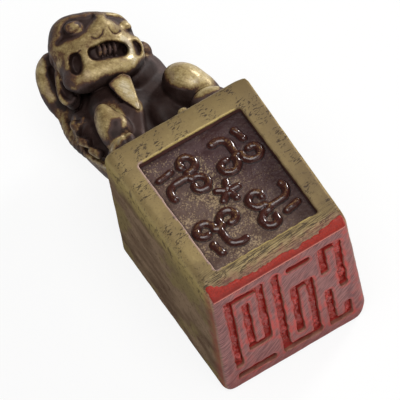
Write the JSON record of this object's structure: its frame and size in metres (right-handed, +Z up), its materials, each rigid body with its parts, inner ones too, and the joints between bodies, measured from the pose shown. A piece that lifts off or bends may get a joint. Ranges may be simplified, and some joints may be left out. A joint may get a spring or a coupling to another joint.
{
  "type": "seal stamp",
  "caption": "Square brass seal block with a let-in ornamented plaque, a fret cut in its seal face with red seal paste, and a seated lion for its knob.",
  "frame": {"origin": "middle of the footprint, on the surface that the stamp lies on", "axes": "+Y from the seal face to the lion along the block's length, +Z up through the sunk panel, +X to the right"},
  "size_m": [0.0226, 0.0542, 0.024],
  "materials": {
    "block_brass": "satin, with dark scratches and a red film towards the seal face",
    "lion_brass": "dark patina in the hollows, rubbed bright on the high places",
    "plaque_brown": "dark brown patina, glossy on the raised strokes",
    "dowel_brass": "plain turned",
    "seal_paste": "dried, crusty red seal paste"
  },
  "bodies": {
    "root": {"seal_block": "block_brass", "lion_figure": "lion_brass", "panel_plaque": "plaque_brown", "paste_bevel": "seal_paste", "knob_dowel_left": "dowel_brass", "knob_dowel_right": "dowel_brass", "paste_left_spiral": "seal_paste", "paste_foot_bar": "seal_paste", "paste_middle_spiral": "seal_paste", "paste_upper_hook": "seal_paste", "paste_lower_hook": "seal_paste"}
  },
  "joints": []
}
